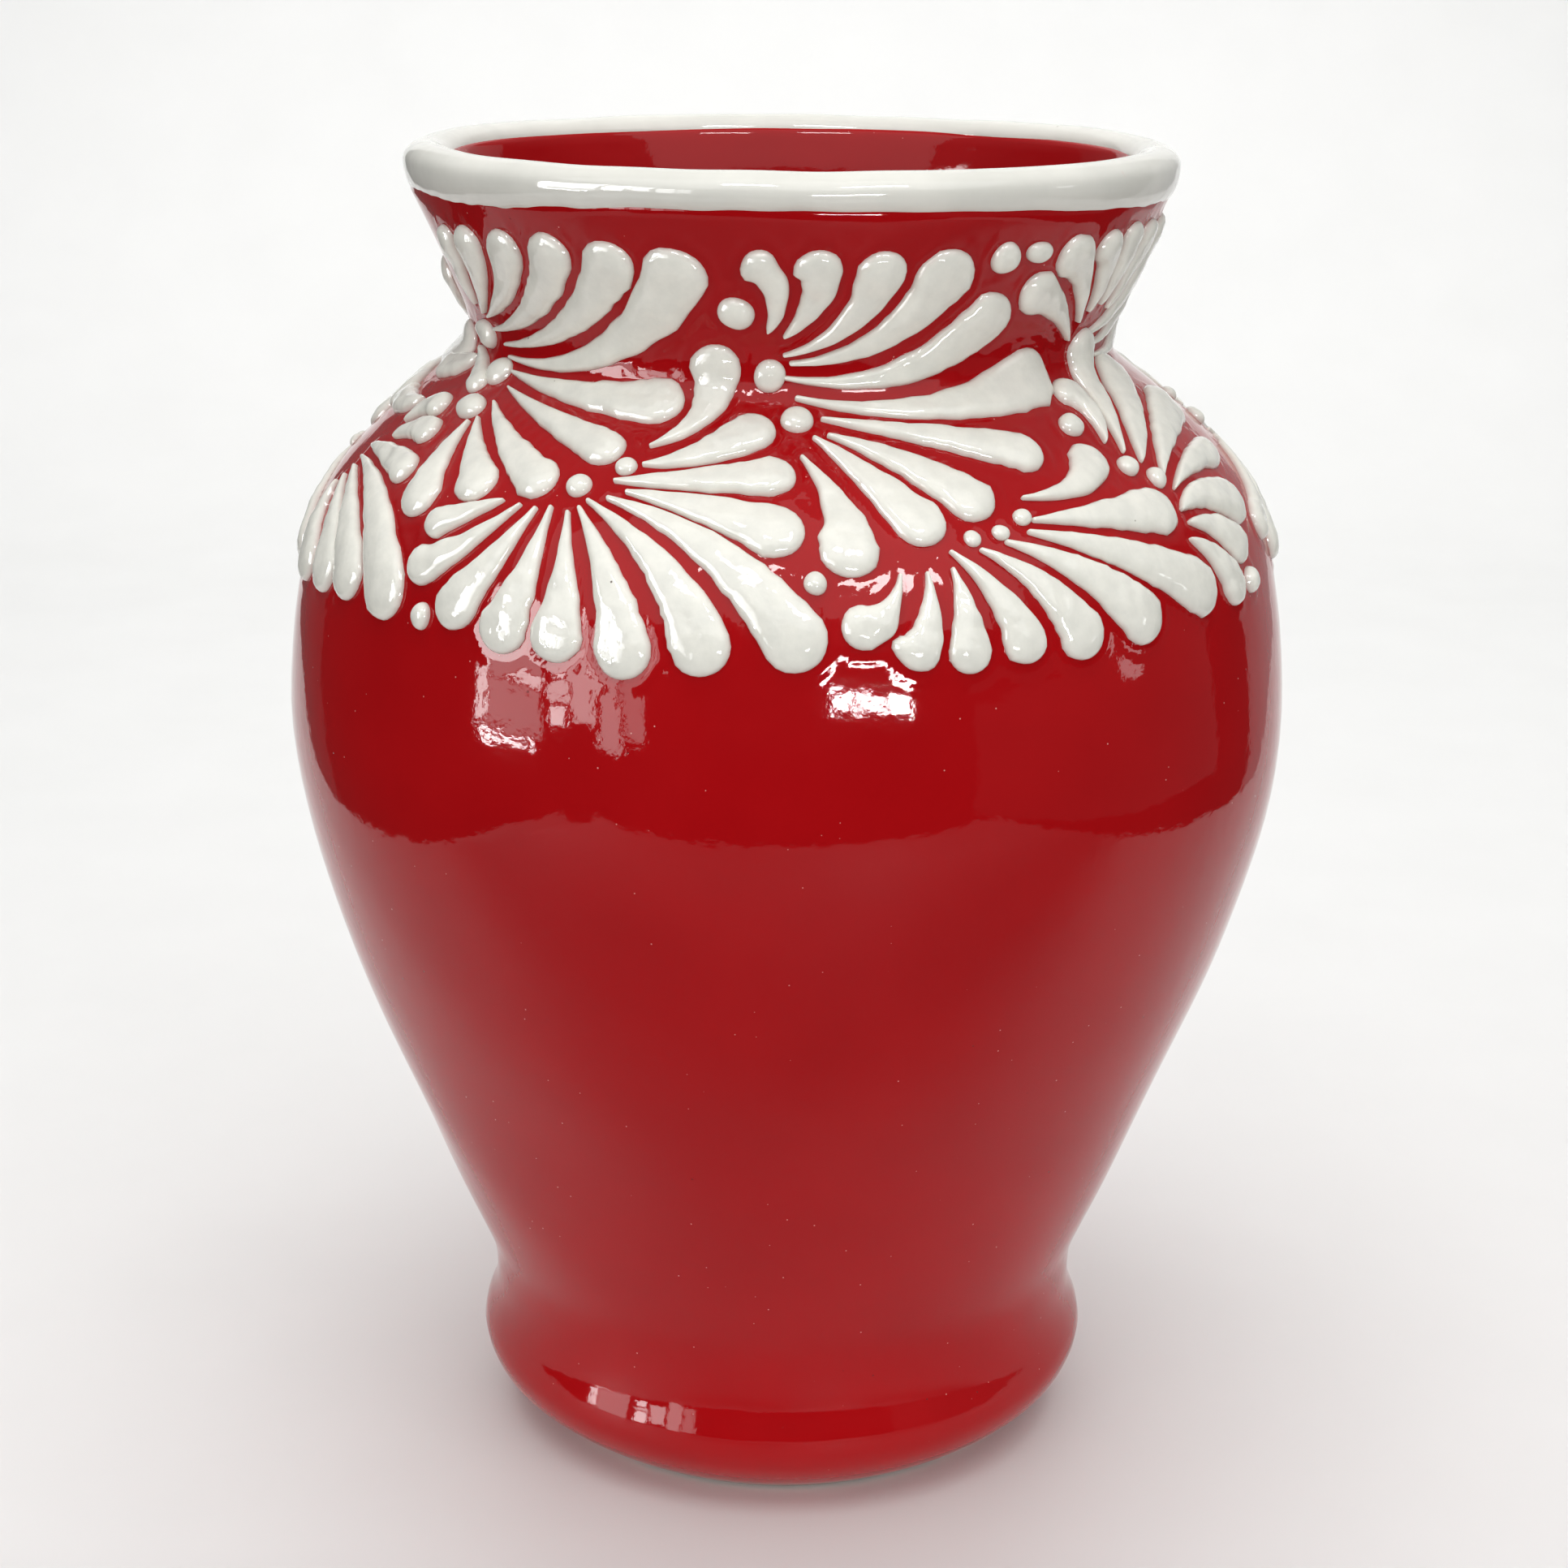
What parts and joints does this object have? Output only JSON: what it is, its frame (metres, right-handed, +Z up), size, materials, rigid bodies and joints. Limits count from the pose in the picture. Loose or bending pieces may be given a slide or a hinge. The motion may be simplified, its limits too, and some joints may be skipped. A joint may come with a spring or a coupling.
{
  "type": "vase",
  "caption": "Baluster-shaped glazed earthenware vase with a rolled rim, flared neck and a raised band of slip-trailed petal strokes round the shoulder.",
  "frame": {"origin": "centre of the foot's resting face", "axes": "+Z up along the pot's axis of revolution; -Y is the decorated front shown first"},
  "size_m": [0.2304, 0.2304, 0.305],
  "materials": {
    "red_glaze": "glossy transparent-looking red glaze over earthenware, bare clay on the resting edge",
    "white_glaze": "glossy off-white glaze on the rolled rim",
    "white_slip": "glossy off-white raised slip strokes, thick and rounded"
  },
  "bodies": {
    "root": {"dot_neck_centre_1": "white_slip", "dot_neck_centre_2": "white_slip", "dot_neck_left_1": "white_slip", "dot_neck_left_2": "white_slip", "dot_shoulder_left_1": "white_slip", "dot_shoulder_left_2": "white_slip", "fan_neck_back": "white_slip", "fan_neck_back_left": "white_slip", "fan_neck_back_right": "white_slip", "fan_neck_right": "white_slip", "fan_shoulder_back_1": "white_slip", "fan_shoulder_back_2": "white_slip", "fan_shoulder_back_3": "white_slip", "fan_shoulder_back_4": "white_slip", "fan_shoulder_far_left": "white_slip", "fan_shoulder_far_right": "white_slip", "petal_neck_centre_01": "white_slip", "petal_neck_centre_02": "white_slip", "petal_neck_centre_03": "white_slip", "petal_neck_centre_04": "white_slip", "petal_neck_centre_05": "white_slip", "petal_neck_centre_06": "white_slip", "petal_neck_centre_07": "white_slip", "petal_neck_centre_08": "white_slip", "petal_neck_centre_09": "white_slip", "petal_neck_centre_10": "white_slip", "petal_neck_left_01": "white_slip", "petal_neck_left_02": "white_slip", "petal_neck_left_03": "white_slip", "petal_neck_left_04": "white_slip", "petal_neck_left_05": "white_slip", "petal_neck_left_06": "white_slip", "petal_neck_left_07": "white_slip", "petal_neck_left_08": "white_slip", "petal_neck_left_09": "white_slip", "petal_neck_left_10": "white_slip", "petal_neck_left_11": "white_slip", "petal_shoulder_left_01": "white_slip", "petal_shoulder_left_02": "white_slip", "petal_shoulder_left_03": "white_slip", "petal_shoulder_left_04": "white_slip", "petal_shoulder_left_05": "white_slip", "petal_shoulder_left_06": "white_slip", "petal_shoulder_left_07": "white_slip", "petal_shoulder_left_08": "white_slip", "petal_shoulder_left_09": "white_slip", "petal_shoulder_left_10": "white_slip", "petal_shoulder_left_11": "white_slip", "petal_shoulder_left_12": "white_slip", "petal_shoulder_right_01": "white_slip", "petal_shoulder_right_02": "white_slip", "petal_shoulder_right_03": "white_slip", "petal_shoulder_right_04": "white_slip", "petal_shoulder_right_05": "white_slip", "petal_shoulder_right_06": "white_slip", "petal_shoulder_right_07": "white_slip", "petal_shoulder_right_08": "white_slip", "petal_shoulder_right_09": "white_slip", "rim_roll": "white_glaze", "vase_body": "red_glaze"}
  },
  "joints": []
}
